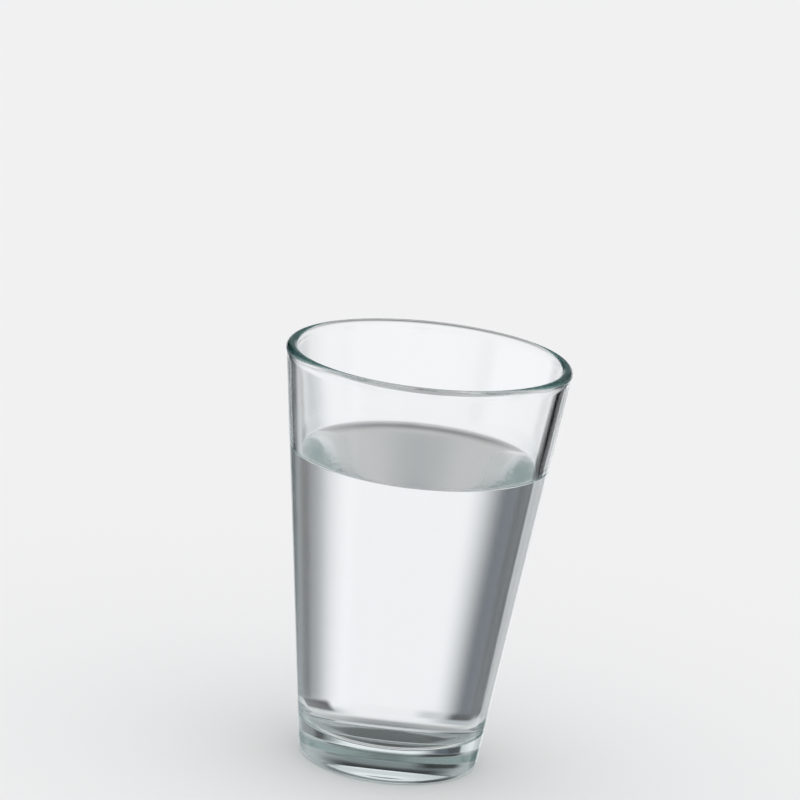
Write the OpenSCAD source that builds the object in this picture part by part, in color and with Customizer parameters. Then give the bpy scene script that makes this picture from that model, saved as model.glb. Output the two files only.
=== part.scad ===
// Conical drinking tumbler of clear pressed glass, holding water.
// All sizes are in millimetres. The origin is the centre of the ring that the
// tumbler stands on, and +Z runs up through the middle of the rim.

/* [Tumbler] */
// Diameter across the outside of the rim
rim_d = 84; // [76:1:96]
// Height from the table to the top of the rim
height = 124; // [108:1:140]
// Diameter of the sloping outer wall where it would meet the table
foot_d = 53; // [46:1:60]
// Thickness of the wall where it runs into the rim
rim_wall = 3; // [2.4:0.1:4]
// Thickness of the wall where it reaches the floor of the cup
floor_wall = 4.4; // [3.4:0.1:5.4]
// Swell of the fire-polished rim beyond each face of the wall
rim_swell = 0.15; // [0.1:0.05:0.4]
// Radius of the hollow neck that blends the rim into each face of the wall
neck_r = 8; // [4:0.5:12]

/* [Base] */
// Thickness of the glass from the table to the floor of the cup
base_t = 10; // [6:0.5:16]
// Radius of the rounded corner between the floor and the wall, inside
floor_fillet = 5; // [2:0.5:8]
// Radius of the rounded corner between the wall and the standing ring
foot_round = 2.4; // [1:0.2:3.6]
// Width of the flat ring that touches the table
ring_w = 4.2; // [2:0.2:6]
// Height of the hollow under the base, at its middle
push_up = 1.6; // [0.6:0.1:3]

/* [Water] */
// Height of the still water above the table
water_level = 92; // [60:0.5:104]
// Height that the water climbs where it wets the wall
meniscus_h = 1.3; // [0.6:0.1:2.4]
// Radius of the hollow curve between the flat surface and the wall
meniscus_r = 8; // [5:0.5:12]

/* [Hidden] */
$fn = 144;

// The rim is a round bead, a little thicker than the wall that it ends
lip_r = rim_wall / 2 + rim_swell;
lip_x = rim_d / 2 - lip_r;
lip_z = height - lip_r;

// Both faces of the wall are straight lines in profile, so true cones in the
// round. A face is given by its radius at the table and its lean per height.
outer_foot = foot_d / 2;
outer_lean = (lip_x + rim_wall / 2 - outer_foot) / lip_z;
outer_floor = outer_foot + outer_lean * base_t;
inner_floor = outer_floor - floor_wall;
inner_lean = (lip_x - rim_wall / 2 - inner_floor) / (lip_z - base_t);

function outer_r(z) = outer_foot + outer_lean * z;
function inner_r(z) = inner_floor + inner_lean * (z - base_t);

// Length of a face of the given lean for each unit of height
function slope_len(lean) = sqrt(1 + lean * lean);

// Centre and touching points of the corner arc between the wall and a flat
// face, for a wall of the given lean and a flat face at the given height
function corner_x(wall_r, lean, r) = wall_r + lean * r - r * slope_len(lean);
function touch_x(x, lean, r) = x + r / slope_len(lean);
function touch_z(z, lean, r) = z - r * lean / slope_len(lean);

floor_cx = corner_x(inner_r(base_t), inner_lean, floor_fillet);
floor_cz = base_t + floor_fillet;
foot_cx = corner_x(outer_foot, outer_lean, foot_round);
ring_inner_r = foot_cx - ring_w;

// The hollow under the base is part of a large ball
hollow_r = (ring_inner_r * ring_inner_r + push_up * push_up) / (2 * push_up);

// The neck below the bead is an arc that touches the bead and one face of the
// wall. The centre of the bead, the centre of the arc and a foot inside the
// wall make a right triangle. The side is 1 for the outer face and -1 for the
// inner one, and the points of the arc run up from the wall to the bead.
lip_centre = [lip_x, lip_z];
neck_steps = 5;
function face_out(side, lean) = side * [1, -lean] / slope_len(lean);
function face_up(lean) = [lean, 1] / slope_len(lean);
function neck_out(lean) = rim_wall / 2 / slope_len(lean) + neck_r;
function neck_drop(lean) = sqrt(pow(lip_r + neck_r, 2) - pow(neck_out(lean), 2));
function neck_turn(lean) = acos(neck_out(lean) / (lip_r + neck_r));
function neck_centre(side, lean) = lip_centre
    + face_out(side, lean) * neck_out(lean) - face_up(lean) * neck_drop(lean);
function neck_arc(side, lean) = [
    for (i = [0:neck_steps])
        let (turn = neck_turn(lean) * i / neck_steps)
            neck_centre(side, lean) - face_out(side, lean) * neck_r * cos(turn)
                + face_up(lean) * neck_r * sin(turn)
];

// The meniscus is an arc that leaves the flat surface smoothly at this radius
// and meets the wall at its full climb. The arc's centre is above the surface.
wet_top = water_level + meniscus_h;
curve_w = sqrt(meniscus_h * (2 * meniscus_r - meniscus_h));
curve_start = inner_r(wet_top) - curve_w;
curve_cz = water_level + meniscus_r;

// Outer body of the glass: the base, its rounded foot, the wall and the neck
module body_outline() {
    polygon(concat(
        [
            [0, 0],
            [foot_cx, 0],
            [touch_x(foot_cx, outer_lean, foot_round),
                touch_z(foot_round, outer_lean, foot_round)]
        ],
        neck_arc(1, outer_lean),
        [lip_centre, [0, lip_z]]
    ));
    translate([foot_cx, foot_round]) circle(r = foot_round);
}

// Room inside the cup with its rounded floor corner, closed by the top points
module cup_outline(top) {
    polygon(concat(
        [
            [0, base_t],
            [floor_cx, base_t],
            [touch_x(floor_cx, inner_lean, floor_fillet),
                touch_z(floor_cz, inner_lean, floor_fillet)]
        ],
        top
    ));
    translate([floor_cx, floor_cz]) circle(r = floor_fillet);
}

// The whole tumbler is one piece of glass
module tumbler() {
    color("#dfe9e6", 0.4)
        difference() {
            rotate_extrude() {
                difference() {
                    body_outline();
                    cup_outline(concat(neck_arc(-1, inner_lean), [lip_centre, [0, lip_z]]));
                }
                translate(lip_centre) circle(r = lip_r);
            }
            translate([0, 0, push_up - hollow_r]) sphere(r = hollow_r);
        }
}

// Still water that fills the cup to its level and climbs the wall a little
module water() {
    color("#c3ccd0", 0.5)
        rotate_extrude()
            difference() {
                cup_outline([[inner_r(curve_cz), curve_cz], [0, curve_cz]]);
                translate([0, water_level]) square([curve_start, meniscus_r]);
                translate([curve_start, curve_cz]) circle(r = meniscus_r);
            }
}

tumbler();
water();
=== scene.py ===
# %% [markdown]
# # A conical tumbler of water
#
# Clear glass has no colour of its own to paint. What we see is the room behind it and
# around it, bent by every face that the light goes through. So this lesson spends its
# effort on three things: a profile that is right to a tenth of a millimetre, faces that
# meet as glass, water and air really meet, and a small studio that gives the glass
# something dark and something bright to bend.
#
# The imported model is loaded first. It is the fixed frame that every piece has to sit in.

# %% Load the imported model
import math

import bmesh
import bpy
from mathutils import Matrix, Vector


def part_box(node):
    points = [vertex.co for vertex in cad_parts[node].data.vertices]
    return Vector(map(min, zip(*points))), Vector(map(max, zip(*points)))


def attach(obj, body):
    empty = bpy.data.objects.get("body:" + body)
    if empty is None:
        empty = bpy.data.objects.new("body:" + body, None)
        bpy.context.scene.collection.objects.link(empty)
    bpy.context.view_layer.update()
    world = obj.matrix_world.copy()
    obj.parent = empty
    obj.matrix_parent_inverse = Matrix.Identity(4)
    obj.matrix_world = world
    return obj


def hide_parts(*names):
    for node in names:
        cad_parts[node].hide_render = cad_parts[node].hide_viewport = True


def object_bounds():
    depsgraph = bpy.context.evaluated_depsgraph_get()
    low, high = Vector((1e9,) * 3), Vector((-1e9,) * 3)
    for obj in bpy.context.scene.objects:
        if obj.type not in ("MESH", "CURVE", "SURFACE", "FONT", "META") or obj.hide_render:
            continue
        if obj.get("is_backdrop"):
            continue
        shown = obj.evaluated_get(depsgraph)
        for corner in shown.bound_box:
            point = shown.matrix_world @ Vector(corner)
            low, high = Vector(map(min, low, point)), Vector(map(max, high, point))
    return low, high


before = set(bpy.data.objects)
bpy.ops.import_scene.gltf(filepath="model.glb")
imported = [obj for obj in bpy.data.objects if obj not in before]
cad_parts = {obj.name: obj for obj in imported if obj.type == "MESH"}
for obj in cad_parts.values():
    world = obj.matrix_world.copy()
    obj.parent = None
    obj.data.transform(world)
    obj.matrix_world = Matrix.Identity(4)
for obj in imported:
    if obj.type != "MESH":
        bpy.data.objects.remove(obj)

MM = 0.001
cad_low, cad_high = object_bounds()

# %% [markdown]
# ## The sizes
#
# Blender works in metres here, so a length in millimetres is written times `MM`. The
# sizes below are the driving sizes that the solid model was drawn from, with the same
# names, and the frame's own overall sizes are read from it and printed beside them.

# %% Sizes of the glass and the water
glass_low, glass_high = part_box("tumbler")
water_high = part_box("water")[1]

rim_d = 84 * MM
height = 124 * MM
foot_d = 53 * MM
rim_wall = 3.0 * MM
floor_wall = 4.4 * MM
rim_swell = 0.15 * MM
neck_r = 8 * MM
base_t = 10 * MM
floor_fillet = 5 * MM
foot_round = 2.4 * MM
ring_w = 4.2 * MM
push_up = 1.6 * MM
water_level = 92 * MM

print(f"rim across: {(glass_high.x - glass_low.x) / MM:.2f} mm")
print(f"height: {glass_high.z / MM:.2f} mm, top of the water: {water_high.z / MM:.2f} mm")

# %% [markdown]
# ## The wall in profile
#
# A pressed tumbler is a body of revolution, so all of its shape is in one profile. The
# outer and inner faces of the wall are straight lines there. Each is held as a radius at
# one height and a lean, which is how much the radius grows for each metre of height. The
# wall is thicker near the floor, as the plunger that pressed it needed taper to come out.

# %% The two sloping faces
lip_r = rim_wall / 2 + rim_swell
lip_x = rim_d / 2 - lip_r
lip_z = height - lip_r

outer_foot = foot_d / 2
outer_lean = (lip_x + rim_wall / 2 - outer_foot) / lip_z
inner_floor = outer_foot + outer_lean * base_t - floor_wall
inner_lean = (lip_x - rim_wall / 2 - inner_floor) / (lip_z - base_t)


def outer_r(z):
    """Radius of the outer face at a height."""
    return outer_foot + outer_lean * z


def inner_r(z):
    """Radius of the inner face at a height."""
    return inner_floor + inner_lean * (z - base_t)


print(f"lean of the wall: {math.degrees(math.atan(outer_lean)):.2f} degrees")

# %% [markdown]
# ## Drawing a profile
#
# A profile is a list of (radius, height) points. Two small tools draw it: one fills in
# points along a straight stretch, the other along an arc. The corner between a sloping
# wall and a level face needs an arc that touches both, or the reflection would break
# there, so one more function finds that arc's centre.

# %% Tools for lines, arcs and corners
# Angles of an arc, in degrees from the outward direction
UP = 90
INWARD = 180
DOWN = -90


def line(start, end, steps):
    """Points after start, up to and with end, evenly spaced."""
    run = end[0] - start[0]
    climb = end[1] - start[1]
    shares = [i / steps for i in range(1, steps + 1)]
    return [(start[0] + run * share, start[1] + climb * share) for share in shares]


def arc(centre, radius, first, last, steps):
    """Points of an arc from one angle to another."""
    turns = [math.radians(first + (last - first) * i / steps) for i in range(steps + 1)]
    return [(centre[0] + radius * math.cos(t), centre[1] + radius * math.sin(t)) for t in turns]


def corner_x(wall_r, lean, radius):
    """Distance from the axis of an arc's centre that touches a sloping wall and a level face."""
    return wall_r + lean * radius - radius * math.sqrt(1 + lean * lean)


foot_centre = (corner_x(outer_foot, outer_lean, foot_round), foot_round)
fillet_centre = (corner_x(inner_floor, inner_lean, floor_fillet), base_t + floor_fillet)
outer_tilt = math.degrees(math.atan(outer_lean))
inner_tilt = math.degrees(math.atan(inner_lean))
print(f"centre of the foot arc: {foot_centre[0] / MM:.2f} mm out, {foot_centre[1] / MM:.2f} mm up")

# %% [markdown]
# ## The rim and its neck
#
# The rim was melted smooth with a flame, which draws the glass into a round bead that is
# a touch thicker than the wall. Soft glass makes no corner, so the bead runs into each
# face of the wall by a hollow neck: an arc that touches the bead and the wall. Its centre
# lies out from the face by its own radius, and as far from the bead's centre as the two
# radii together, so a right triangle gives both its place and how far it turns.

# %% Where a neck lies and how far it turns
def neck(side, lean):
    """Centre and turn of the arc from the bead to a face. The side is 1 outside, -1 inside."""
    slope = math.sqrt(1 + lean * lean)
    out = rim_wall / 2 / slope + neck_r
    drop = math.sqrt((lip_r + neck_r) ** 2 - out ** 2)
    centre_x = lip_x + (side * out - lean * drop) / slope
    centre_z = lip_z - (side * lean * out + drop) / slope
    return (centre_x, centre_z), math.degrees(math.acos(out / (lip_r + neck_r)))


neck_out, turn_out = neck(1, outer_lean)
neck_in, turn_in = neck(-1, inner_lean)
print(f"turn of the necks: {turn_out:.1f} degrees outside, {turn_in:.1f} inside")

# %% [markdown]
# ## The underside and the foot
#
# The tumbler stands on a narrow flat ring. Inside the ring the base is pushed up a
# little, so that it doesn't rock. The foot is rounded, so that it doesn't chip.

# %% Profile of the outside, from the middle of the underside up to the rim
ARC_STEPS = 14
WALL_STEPS = 40
NECK_STEPS = 12
BEAD_STEPS = 48

ring_inner = foot_centre[0] - ring_w
hollow_r = (ring_inner ** 2 + push_up ** 2) / (2 * push_up)
hollow_half = math.degrees(math.asin(ring_inner / hollow_r))

underside = arc((0, push_up - hollow_r), hollow_r, UP, UP - hollow_half, ARC_STEPS)
underside[0] = (0.0, push_up)
underside[-1] = (ring_inner, 0.0)
foot = arc(foot_centre, foot_round, DOWN, -outer_tilt, ARC_STEPS)
neck_start = INWARD - outer_tilt
bead_end = INWARD - inner_tilt + turn_in
outer_neck = arc(neck_out, neck_r, neck_start, neck_start - turn_out, NECK_STEPS)
bead = arc((lip_x, lip_z), lip_r, -outer_tilt - turn_out, bead_end, BEAD_STEPS)
outer_wall = line(foot[-1], outer_neck[0], WALL_STEPS)
outside = underside + foot + outer_wall + outer_neck[1:] + bead[1:]
print(f"points outside: {len(outside)}, thickness of the bead: {2 * lip_r / MM:.2f} mm")

# %% [markdown]
# ## Where the water meets the wall
#
# Water wets glass and climbs it. Its weight pulls the climb down and its skin holds it
# up, and the balance of the two has one length in it, which is 2.7 mm for water. From it
# follows the curve: at a height h above the level, the surface slopes by twice the angle
# whose sine is h over twice that length. The last third of a millimetre is different. The
# glass above is still damp there, and the surface curls up to it.
#
# In a photograph the steep part mirrors the dark water below it, and the curled foot lets
# light through. Together they are the fine dark line with a pale edge that runs round the
# water, so both are modelled and not painted. The solid model has one plain arc here.

# %% The curve of the surface
capillary = 2.7 * MM
climb_h = 1.55 * MM
flat_h = 0.01 * MM
damp_r = 0.5 * MM
damp_slope = 78
MENISCUS_STEPS = 36
DAMP_STEPS = 8


def run_to(h):
    """Distance over which the surface rises from a height to the top of the free curve."""
    return capillary * (math.acosh(2 * capillary / h) - math.sqrt(4 - (h / capillary) ** 2))


climb_slope = 2 * math.degrees(math.asin(climb_h / (2 * capillary)))
damp_h = damp_r * (math.cos(math.radians(climb_slope)) - math.cos(math.radians(damp_slope)))
wet_top = water_level + climb_h + damp_h


def surface_from(edge):
    """Points from the top of the damp foot, at a radius, to where the water is flat."""
    turn_end = math.radians(damp_slope)
    centre = (edge - damp_r * math.sin(turn_end), wet_top + damp_r * math.cos(turn_end))
    points = arc(centre, damp_r, DOWN + damp_slope, DOWN + climb_slope, DAMP_STEPS)
    free_edge = points[-1][0]
    for i in range(1, MENISCUS_STEPS + 1):
        h = climb_h * (flat_h / climb_h) ** (i / MENISCUS_STEPS)
        points.append((free_edge - run_to(h) + run_to(climb_h), water_level + h))
    return points


print(f"slope where the free curve ends: {climb_slope:.1f} degrees")
print(f"whole climb: {(wet_top - water_level) / MM:.2f} mm")

# %% [markdown]
# ## Profiles of the two bodies
#
# The glass runs on from the bead down the inside wall and across the floor. The water
# shares that inside wall. A renderer has to know which body a ray is in, so the two
# can't just touch: the water reaches a tenth of a millimetre into the glass. A ray from
# the glass then meets the water's face first and the glass's face next, and the two
# bends add up to the one real bend from glass into water. The curve of the surface ends
# half way into that tenth, so its last edge is hidden in the glass.

# %% Profile of the glass
FLOOR_STEPS = 8

inner_neck = arc(neck_in, neck_r, turn_in - inner_tilt, -inner_tilt, NECK_STEPS)[1:]
fillet = arc(fillet_centre, floor_fillet, -inner_tilt, DOWN, ARC_STEPS)
contact = (inner_r(wet_top), wet_top)
dry_wall = line(inner_neck[-1], contact, WALL_STEPS // 2)
wet_wall = line(contact, fillet[0], WALL_STEPS)
cup_floor = line(fillet[-1], (0.0, base_t), FLOOR_STEPS)
glass_profile = outside + inner_neck + dry_wall + wet_wall + fillet[1:] + cup_floor
print(f"wall at the water's edge: {(outer_r(wet_top) - inner_r(wet_top)) / MM:.2f} mm")

# %% Profile of the water
overlap = 0.1 * MM

water_fillet = arc(fillet_centre, floor_fillet + overlap, DOWN, -inner_tilt, ARC_STEPS)
water_edge = (inner_r(wet_top) + overlap, wet_top)
surface = surface_from(inner_r(wet_top) + overlap / 2)
water_profile = [(0.0, base_t - overlap)] + water_fillet
water_profile += line(water_fillet[-1], water_edge, WALL_STEPS)
water_profile += surface + line(surface[-1], (0.0, water_level), FLOOR_STEPS)
print("points of the glass:", len(glass_profile), "of the water:", len(water_profile))

# %% [markdown]
# ## A wall that is not quite perfect
#
# Pressed glass is smooth to the touch, but the inside face follows the plunger less
# exactly than the outside follows the mould. A wave of a few hundredths of a millimetre
# is enough to make the dark lines in the wall tremble a little, which is how the eye
# tells real glass from a drawing. The wave is a sum of slow sines, so it is the same in
# every run. Each sine starts at its own angle and climbs the wall at its own slant, and
# all fade out at the rim and the floor. The water follows the same wall.

# %% The wave of the inside face
wave_depth = 0.035 * MM
wave_height = 19 * MM
WAVES_ROUND = (3, 5, 8)


def wave(angle, z):
    """How far the inside face lies from a true cone, at an angle and a height."""
    share = (z - base_t) / (lip_z - base_t)
    fade = max(0.0, math.sin(math.pi * min(max(share, 0.0), 1.0)))
    rise = 2 * math.pi * z / wave_height
    total = sum(math.sin(n * angle + rise / (i + 1) + i) for i, n in enumerate(WAVES_ROUND))
    return wave_depth * fade * total / len(WAVES_ROUND)


print(f"wave at mid height: {wave(0.0, height / 2) / MM:.4f} mm")

# %% [markdown]
# ## Turning a profile into a body
#
# The profile is set out at many angles and joined into rings of faces. Faces are shaded
# smooth, because a visible facet would bend light like a cut gem. Where the profile has
# a real corner, such as the line where the water touches the wall, the edge is marked
# sharp. Otherwise the smoothing would tilt the faces beside it and the water would show
# a black ring that no glass has.

# %% Revolve a profile
AROUND = 256
SHARP_CORNER = math.radians(20)


def corner_turn(profile, i):
    """How far a profile turns at one of its points."""
    before = Vector(profile[i]) - Vector(profile[i - 1])
    after = Vector(profile[i + 1]) - Vector(profile[i])
    return before.angle(after)


def ring_of(mesh, radius, z, is_inside):
    """One ring of points, or one point on the axis."""
    if radius == 0.0:
        return [mesh.verts.new((0.0, 0.0, z))]
    points = []
    for i in range(AROUND):
        angle = 2 * math.pi * i / AROUND
        r = radius + (wave(angle, z) if is_inside else 0.0)
        points.append(mesh.verts.new((r * math.cos(angle), r * math.sin(angle), z)))
    return points


def join_rings(mesh, below, above):
    """Faces between two rings, or between a ring and a point on the axis."""
    for i in range(AROUND):
        j = (i + 1) % AROUND
        if len(below) == 1:
            corners = (below[0], above[j], above[i])
        elif len(above) == 1:
            corners = (below[i], below[j], above[0])
        else:
            corners = (below[i], below[j], above[j], above[i])
        mesh.faces.new(corners).smooth = True


def mark_corners(mesh, profile, rings):
    """Marks the ring of edges at each real corner of the profile as sharp."""
    for k in range(1, len(profile) - 1):
        if corner_turn(profile, k) > SHARP_CORNER:
            for i in range(AROUND):
                ends = (rings[k][i], rings[k][(i + 1) % AROUND])
                mesh.edges.get(ends).smooth = False


def revolve(name, profile, inside_from, inside_to):
    """A closed body turned from a profile. Points between the two indexes follow the wave."""
    mesh = bmesh.new()
    rings = []
    for k, (radius, z) in enumerate(profile):
        rings.append(ring_of(mesh, radius, z, inside_from <= k < inside_to))
    for below, above in zip(rings, rings[1:]):
        join_rings(mesh, below, above)
    bmesh.ops.recalc_face_normals(mesh, faces=mesh.faces)
    mark_corners(mesh, profile, rings)
    data = bpy.data.meshes.new(name)
    mesh.to_mesh(data)
    mesh.free()
    body = bpy.data.objects.new(name, data)
    bpy.context.collection.objects.link(body)
    print(name, "has", len(data.vertices), "points and", len(data.polygons), "faces")
    return body


# %% Make the glass and the water
inside_start = len(outside) + len(inner_neck)
inside_end = inside_start + len(dry_wall) + len(wet_wall)
glass = revolve("tumbler_glass", glass_profile, inside_start, inside_end)

side_start = 1 + len(water_fillet)
side_end = side_start + WALL_STEPS
water = revolve("water_body", water_profile, side_start, side_end)

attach(glass, "root")
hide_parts("tumbler")
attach(water, "root")
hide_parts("water")

# %% [markdown]
# ## Colours and nodes
#
# Colours are written the way a screen shows them, as sRGB hex, and one function turns
# them into the linear light that the renderer adds up. One more function adds a shader
# node with its settings and its links, and every material below is built with it.

# %% One function for colours and one for nodes
FULL = 1.0
BYTE = 255
HEX_BASE = 16
HEX_PLACES = ((1, 3), (3, 5), (5, 7))
SRGB_KNEE = 0.04045
SRGB_SLOPE = 12.92
SRGB_LIFT = 0.055
SRGB_POWER = 2.4


def linear(hex_colour):
    """An sRGB hex colour as linear red, green, blue and alpha."""
    light = []
    for first, last in HEX_PLACES:
        part = int(hex_colour[first:last], HEX_BASE) / BYTE
        if part <= SRGB_KNEE:
            light.append(part / SRGB_SLOPE)
        else:
            light.append(((part + SRGB_LIFT) / (1 + SRGB_LIFT)) ** SRGB_POWER)
    return light + [FULL]


def add_node(tree, kind, inputs=None, **settings):
    """Adds a node, sets its properties, and sets or links its inputs."""
    node = tree.nodes.new(kind)
    for name, value in settings.items():
        setattr(node, name, value)
    for socket, value in (inputs or {}).items():
        if isinstance(value, bpy.types.NodeSocket):
            tree.links.new(value, node.inputs[socket])
        else:
            node.inputs[socket].default_value = value
    return node


def empty_tree(owner):
    """Turns nodes on for a material or a world and gives back its cleared tree."""
    owner.use_nodes = True
    owner.node_tree.nodes.clear()
    return owner.node_tree


print(f"the mid grey #808080 as light: {linear('#808080')[0]:.3f}")

# %% [markdown]
# ## A skin that is not quite even
#
# Both clear bodies here have a skin that set or settled by itself, so neither has any
# grain. Each is only slightly uneven, and dullest where it is unevenest. Roughness and
# bump therefore both come from one slow noise. Its scale is a real length, so that the
# unevenness is as wide on the part as it is on the real thing.

# %% Roughness and bump from one slow noise
NOISE_LOW = 0.35
NOISE_HIGH = 0.70
NOISE_DETAIL = 2.0
NOISE_ROUGHNESS = 0.45


def uneven_skin(tree, wave_mm, bump_mm, dullest):
    """Roughness and normal. The noise has one wave in wave_mm and lifts the face by bump_mm."""
    slow = add_node(tree, "ShaderNodeTexNoise", {
        "Vector": add_node(tree, "ShaderNodeTexCoord").outputs["Object"],
        "Scale": 1 / (wave_mm * MM),
        "Detail": NOISE_DETAIL,
        "Roughness": NOISE_ROUGHNESS,
    })
    roughness = add_node(tree, "ShaderNodeMapRange", {
        "Value": slow.outputs["Fac"],
        "From Min": NOISE_LOW,
        "From Max": NOISE_HIGH,
        "To Max": dullest,
    })
    bump = add_node(tree, "ShaderNodeBump", {
        "Height": slow.outputs["Fac"],
        "Strength": FULL,
        "Distance": bump_mm * MM,
    })
    return roughness.outputs["Result"], bump.outputs["Normal"]


# %% [markdown]
# ## The light that a clear body lets through
#
# A clear body needs one shader for the rays that we see and another for the light that
# it lets through to the table. If the shader that bends light did both, the table would
# fill with noisy bright specks. So shadow and diffuse rays meet a faintly tinted film in
# its place. The film is darker where the light meets the wall edge on. Real glass throws
# that light aside, and that is why the shadow of a glass is a pale patch with a darker
# outline.

# %% A film for shadow and diffuse rays
def shade_film(tree, face_tone, edge_tone):
    """A see-through shader with one tone where light meets it squarely and one edge on."""
    facing = add_node(tree, "ShaderNodeLayerWeight")
    tone = add_node(tree, "ShaderNodeMix", {
        "Factor": facing.outputs["Facing"],
        "A": linear(face_tone),
        "B": linear(edge_tone),
    }, data_type="RGBA")
    film = add_node(tree, "ShaderNodeBsdfTransparent", {"Color": tone.outputs["Result"]})
    return film.outputs[0]


# %% [markdown]
# ## What clear bodies share
#
# The rays that we see meet the Principled shader with full transmission, which bends and
# mirrors as the index of refraction says. Light Path tells the two kinds of ray apart.

# %% A clear material
def clear_body(name, ior, skin, film):
    """A clear material from its index, the measures of its skin and the tones of its film."""
    material = bpy.data.materials.new(name)
    tree = empty_tree(material)
    roughness, normal = uneven_skin(tree, **skin)
    body = add_node(tree, "ShaderNodeBsdfPrincipled", {
        "Base Color": linear("#ffffff"),
        "IOR": ior,
        "Transmission Weight": FULL,
        "Roughness": roughness,
        "Normal": normal,
    })
    light_path = add_node(tree, "ShaderNodeLightPath")
    is_shade = add_node(tree, "ShaderNodeMath", {
        0: light_path.outputs["Is Shadow Ray"],
        1: light_path.outputs["Is Diffuse Ray"],
    }, operation="MAXIMUM")
    seen_or_shade = add_node(tree, "ShaderNodeMixShader", {
        0: is_shade.outputs[0],
        1: body.outputs[0],
        2: shade_film(tree, **film),
    })
    add_node(tree, "ShaderNodeOutputMaterial", {"Surface": seen_or_shade.outputs[0]})
    print(name, "has", len(tree.nodes), "nodes")
    return material


# %% [markdown]
# ## Soda-lime glass, pressed and fire-polished
#
# Table glass is soda-lime glass, with an index of refraction of 1.52. It was pressed hot
# between a mould and a plunger and then polished by a flame. That leaves no grain at
# all, but the skin set while it still flowed, so it is uneven by a few thousandths of a
# millimetre over the width of a fingertip.
#
# A trace of iron tints the glass. Across the wall, 3 mm thick, nobody sees it. In the
# ends of the rim the light runs round the bead for centimetres, and there the glass is
# a deep bottle green. Volume absorption does just that, because its tint deepens with
# the length of the path: red is lost soonest, and green and blue last.

# %% The glass
glass_ior = 1.52
soda_lime = clear_body(
    "pressed_soda_lime_glass", glass_ior,
    skin={"wave_mm": 7.0, "bump_mm": 0.004, "dullest": 0.012},
    film={"face_tone": "#f2f5f4", "edge_tone": "#a9b1af"})

IRON_TINT = "#72bcb9"
IRON_DENSITY = 3.6
tree = soda_lime.node_tree
tint = add_node(tree, "ShaderNodeVolumeAbsorption", {
    "Color": linear(IRON_TINT),
    "Density": IRON_DENSITY,
})
tree.links.new(tint.outputs[0], tree.nodes["Material Output"].inputs["Volume"])
glass.data.materials.append(soda_lime)

long_way = 100 * MM
for light_name, share in zip(("red", "green", "blue"), linear(IRON_TINT)):
    kept = math.exp(-IRON_DENSITY * (1 - share) * long_way)
    print(f"{light_name} light left after 10 cm of glass: {kept:.2f}")

# %% [markdown]
# ## Still water
#
# Water has an index of 1.333 and no colour over so short a path, so it needs no tint. Its
# skin is the smoothest surface in the scene. The only unevenness is the tremble that a
# table passes on to it, which is slower than the waves in the glass.

# %% The water
water_ior = 1.333
still_water = clear_body(
    "still_tap_water", water_ior,
    skin={"wave_mm": 16.0, "bump_mm": 0.006, "dullest": 0.004},
    film={"face_tone": "#f8fafa", "edge_tone": "#d4dadb"})
water.data.materials.append(still_water)
print(f"step of index from glass to water: {glass_ior / water_ior:.3f}")

# %% [markdown]
# ## A plain pale table
#
# The table only has to be pale, plain and matt, and to take the soft shadow of the glass.
# Pressed melamine laminate does that: it scatters light evenly and shows no grain. A ray
# that comes through the glass looks past the table to the studio, because a lens of
# water shows what stands in the room and not the surface under it. Below the level, that
# studio holds painted shade in place of the table under the glass.

# %% The table
floor_r = 12.0
FLOOR_SIDES = 96
table_hex = "#f1f1f2"

mesh = bmesh.new()
bmesh.ops.create_circle(mesh, cap_ends=True, radius=floor_r, segments=FLOOR_SIDES)
floor_data = bpy.data.meshes.new("studio_floor")
mesh.to_mesh(floor_data)
mesh.free()
floor = bpy.data.objects.new("studio_floor", floor_data)
bpy.context.collection.objects.link(floor)
floor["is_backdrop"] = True

table = bpy.data.materials.new("pale_matt_laminate")
tree = empty_tree(table)
light_path = add_node(tree, "ShaderNodeLightPath")
through_glass = add_node(tree, "ShaderNodeMath", {
    0: light_path.outputs["Is Transmission Ray"],
    1: light_path.outputs["Is Glossy Ray"],
}, operation="MAXIMUM")
matt = add_node(tree, "ShaderNodeBsdfDiffuse", {"Color": linear(table_hex)})
unseen = add_node(tree, "ShaderNodeBsdfTransparent")
table_mix = add_node(tree, "ShaderNodeMixShader", {
    0: through_glass.outputs[0],
    1: matt.outputs[0],
    2: unseen.outputs[0],
})
add_node(tree, "ShaderNodeOutputMaterial", {"Surface": table_mix.outputs[0]})
floor_data.materials.append(table)
print("table tone:", table_hex)

# %% [markdown]
# ## The studio that the glass sees
#
# A photographer lights clear glass with a bright backdrop behind it and dark cards beside
# that backdrop, just out of view. The wall bends the cards into the edges of the glass
# and draws them as dark lines. The water is a strong lens, so it shows them too, left and
# right exchanged. The same is done here on the world. First comes a tone for each
# elevation, and then the cards, each on top of those before it. A second backdrop with
# its own flags stands behind the camera, so that the glass reads as well from there. The
# places and tones were set over many trials, led by a fit of the brightness of each part
# of the room to the photograph.
#
# A card is given by its middle, its half size, how soft its upright and level edges are,
# and its tone. Azimuth is measured from +Y, which is straight behind the glass, and is
# positive to the right. All angles are in degrees.

# %% Tones by elevation, from straight down to straight up
# Below the level the tones are greyer than the table's own tone. From straight down to 45 degrees
# down they are painted shade: the table in the soft shadow of the glass, as rays through the glass
# see it.
SURROUND = (
    (-90, "#b4b6b8"), (-74, "#b0b2b4"), (-62, "#cecece"), (-45, "#b8b9b9"), (-33, "#d0d2d2"),
    (-22, "#d8dada"), (-10, "#c8ccce"), (2, "#b8bfc1"), (14, "#a0a6a8"), (30, "#a8b0b2"),
    (60, "#a8a8a8"), (90, "#606060"),
)
print("elevations with a tone:", len(SURROUND))

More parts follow.
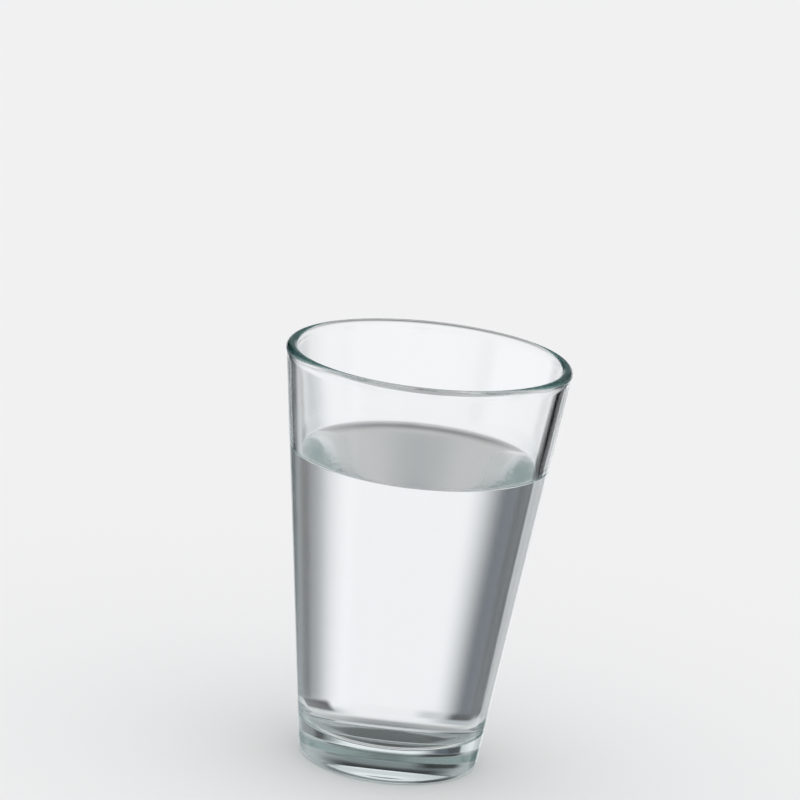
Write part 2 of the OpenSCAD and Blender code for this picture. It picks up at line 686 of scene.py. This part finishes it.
# %% The cards, laid over each other from the first to the last
# name, azimuth, elevation, half width, half height, side softness, level softness, tone
CARDS = (
    # the table behind and under the glass, in grey: painted shade where the glass shades the table
    ("table", 0, -45, 25, 5, 25, 5, "#7c7e80"),
    ("under", 0, -62, 12, 6, 14, 6, "#acaeb0"),
    # behind the camera and beside it, for the other views
    ("rear wall", 180, 6, 36, 12, 20, 8, "#e2e6e7"),
    ("rear backdrop", 135, -14, 28, 12, 6, 4, "#f4f5f6"),
    ("rear left flag", 100, -13, 6, 8, 5, 4, "#384044"),
    ("rear right flag", 171, -13, 6, 8, 5, 4, "#384044"),
    ("left wall", -84, -20, 38, 16, 8, 6, "#fafafc"),
    ("left backdrop", -92, 0, 28, 8, 8, 4, "#f0f3f4"),
    ("side flag", -130, -5, 7, 6, 5, 4, "#485054"),
    # the bright backdrop behind the glass
    ("backdrop", 0, -14, 28, 16, 7, 4, "#f7f8fa"),
    # what stands at its left
    ("left skirt", -27, -12, 9, 10, 7, 4, "#4c545e"),
    ("left flag", -35, -10, 5, 6, 1.5, 4, "#242c36"),
    ("left low veil", -14, -18, 6, 3, 3, 2, "#ccd0d2"),
    ("left low flag", -26, -18, 7, 3, 4, 2, "#04080e"),
    ("left low skirt", -28, -24, 12, 3, 8, 2, "#b0b6bc"),
    # what stands at its right
    ("right skirt", 45, -9, 20, 6, 10, 3, "#6c7274"),
    ("right flag", 38, -8, 4, 6, 3, 3, "#0c1214"),
    ("right low skirt", 26, -24, 8, 4, 8, 3, "#a4acb0"),
    ("right low flag", 34, -20, 12, 5, 2, 2, "#000002"),
    # what hangs above it
    ("right top flag", 24, 8, 8, 6, 4, 4, "#48565a"),
    ("top strip", 0, 14, 24, 6, 10, 4, "#7c8688"),
    ("left top flag", -28, 10, 14, 12, 6, 4, "#101616"),
    ("dark top", 0, 46, 34, 24, 15, 8, "#0a1212"),
)
print("cards in the studio:", [card[0] for card in CARDS])

# %% [markdown]
# ## From a direction to a tone
#
# The world shader is asked for a tone in one direction at a time. Two angles come from
# the direction, and each card is a soft step in both. The result is mixed over the tone
# so far. Only rays that have been through the glass or off it see all this. The table is
# lit by plain white from every side, and the camera sees the table's own tone beyond its
# edge, so the horizon doesn't show.

# %% The two angles of a direction
HALF_TURN = 180.0
QUARTER_TURN = 90.0
DEGREES = HALF_TURN / math.pi

world = bpy.data.worlds.new("studio")
bpy.context.scene.world = world
tree = empty_tree(world)
direction = add_node(tree, "ShaderNodeTexCoord").outputs["Generated"]
along = add_node(tree, "ShaderNodeSeparateXYZ", {0: direction}).outputs
turn = add_node(tree, "ShaderNodeMath", {0: along["X"], 1: along["Y"]}, operation="ARCTAN2")
bearing = add_node(tree, "ShaderNodeMath", {
    0: turn.outputs[0],
    1: DEGREES,
}, operation="MULTIPLY")
lift = add_node(tree, "ShaderNodeMath", {0: along["Z"]}, operation="ARCSINE")
rise = add_node(tree, "ShaderNodeMath", {0: lift.outputs[0], 1: DEGREES}, operation="MULTIPLY")
azimuth = bearing.outputs[0]
elevation = rise.outputs[0]
print(f"degrees in one radian: {DEGREES:.2f}")

# %% The tone of each elevation
height_share = add_node(tree, "ShaderNodeMapRange", {
    "Value": elevation,
    "From Min": -QUARTER_TURN,
    "From Max": QUARTER_TURN,
})
ramp = add_node(tree, "ShaderNodeValToRGB", {"Fac": height_share.outputs["Result"]})
stops = ramp.color_ramp.elements
ready_stops = len(stops)
for i, (level, tone) in enumerate(SURROUND):
    share = (level + QUARTER_TURN) / HALF_TURN
    stop = stops[i] if i < ready_stops else stops.new(share)
    stop.position = share
    stop.color = linear(tone)
studio = ramp.outputs["Color"]
print("stops of the ramp:", len(stops))


# %% Lay the cards over it
def card_share(angle, middle, half, soft):
    """One inside a card and zero outside it, seen along one of the two angles."""
    apart = add_node(tree, "ShaderNodeMath", {0: angle, 1: float(middle)}, operation="SUBTRACT")
    near_way = add_node(tree, "ShaderNodeMath", {
        0: apart.outputs[0],
        1: HALF_TURN,
        2: -HALF_TURN,
    }, operation="WRAP")
    reach = add_node(tree, "ShaderNodeMath", {0: near_way.outputs[0]}, operation="ABSOLUTE")
    return add_node(tree, "ShaderNodeMapRange", {
        "Value": reach.outputs[0],
        "From Min": half + soft,
        "From Max": half - soft,
    }, interpolation_type="SMOOTHSTEP").outputs["Result"]


for name, middle, level, half_width, half_height, side_soft, level_soft, tone in CARDS:
    inside = add_node(tree, "ShaderNodeMath", {
        0: card_share(azimuth, middle, half_width, side_soft),
        1: card_share(elevation, level, half_height, level_soft),
    }, operation="MULTIPLY", label=name)
    studio = add_node(tree, "ShaderNodeMix", {
        "Factor": inside.outputs[0],
        "A": studio,
        "B": linear(tone),
    }, data_type="RGBA").outputs["Result"]
print("cards laid over the ramp:", len(CARDS))

# %% Three kinds of ray, three answers
light_path = add_node(tree, "ShaderNodeLightPath")
even_light = add_node(tree, "ShaderNodeBackground", {"Color": linear("#ffffff"), "Strength": FULL})
far_table = add_node(tree, "ShaderNodeBackground", {"Color": linear(table_hex), "Strength": FULL})
cards_seen = add_node(tree, "ShaderNodeBackground", {"Color": studio, "Strength": FULL})
plain = add_node(tree, "ShaderNodeMixShader", {
    0: light_path.outputs["Is Camera Ray"],
    1: even_light.outputs[0],
    2: far_table.outputs[0],
})
by_glass = add_node(tree, "ShaderNodeMath", {
    0: light_path.outputs["Is Transmission Ray"],
    1: light_path.outputs["Is Glossy Ray"],
}, operation="MAXIMUM")
room = add_node(tree, "ShaderNodeMixShader", {
    0: by_glass.outputs[0],
    1: plain.outputs[0],
    2: cards_seen.outputs[0],
})
add_node(tree, "ShaderNodeOutputWorld", {"Surface": room.outputs[0]})
print("nodes in the world:", len(tree.nodes))

# %% [markdown]
# ## Let the light find its way out
#
# Light that enters the rim or the wall edge on is trapped like light in a fibre, and
# bounces hundreds of times before it leaves. A ray that is given up on the way counts as
# black, so with the usual dozen bounces the ends of the rim and of the water turn black.
# With the limit raised, the absorption of the glass decides how dark they are.

# %% Raise the limit on bounces
MOST_BENDS = 1024
cycles = bpy.context.scene.cycles
cycles.max_bounces = MOST_BENDS
cycles.transmission_bounces = MOST_BENDS
cycles.glossy_bounces = MOST_BENDS
print("bounces allowed:", cycles.max_bounces)

# %% [markdown]
# ## The camera
#
# The photograph was taken from 14 degrees above the level of the rim, with the camera
# rolled by 6 degrees so that the glass leans, and from far enough for the two sides of
# the cone to stay almost straight. The camera is placed on a line from the middle of the
# rim. It is then turned so that this middle falls on its pixel in a picture 800 pixels
# wide, so the lens needs no shift.

# %% The camera
view_rise = math.radians(14.07)
view_roll = math.radians(6.084)
view_distance = 1.300
picture_px = 800
focal_px = 4461.3
rim_px = (429.60, 359.25)
sensor_mm = 36.0
far_end = 100

rim_middle = Vector((0, 0, lip_z))
back = Vector((0, -math.cos(view_rise), math.sin(view_rise)))
right = Vector((1, 0, 0))
up = right.cross(-back)
rolled_right = right * math.cos(view_roll) + up * math.sin(view_roll)
rolled_up = up * math.cos(view_roll) - right * math.sin(view_roll)
axes = Matrix((rolled_right, rolled_up, back)).transposed()

middle_px = picture_px / 2
to_rim = Vector(((rim_px[0] - middle_px) / focal_px, (middle_px - rim_px[1]) / focal_px, -1))
aim = Vector((0, 0, -1)).rotation_difference(to_rim).to_matrix()

camera_data = bpy.data.cameras.new("photo_camera")
camera_data.sensor_width = sensor_mm
camera_data.lens = focal_px / picture_px * sensor_mm
camera_data.clip_end = far_end
camera = bpy.data.objects.new("photo_camera", camera_data)
bpy.context.collection.objects.link(camera)
turned = (axes @ aim.inverted()).to_4x4()
camera.matrix_world = Matrix.Translation(rim_middle + back * view_distance) @ turned
bpy.context.scene.camera = camera
bpy.context.scene.view_settings.view_transform = "Standard"
print(f"lens: {camera_data.lens:.1f} mm")

# %% [markdown]
# ## Compare the boxes
#
# The dressed model has to stay inside the imported model's box. The two boxes are
# compared, and the largest step outside is printed.

# %% Compare the two boxes
low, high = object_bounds()
past = max(max(cad_low - low), max(high - cad_high))
print(f"largest step outside the packed box: {past / MM:.4f} mm")
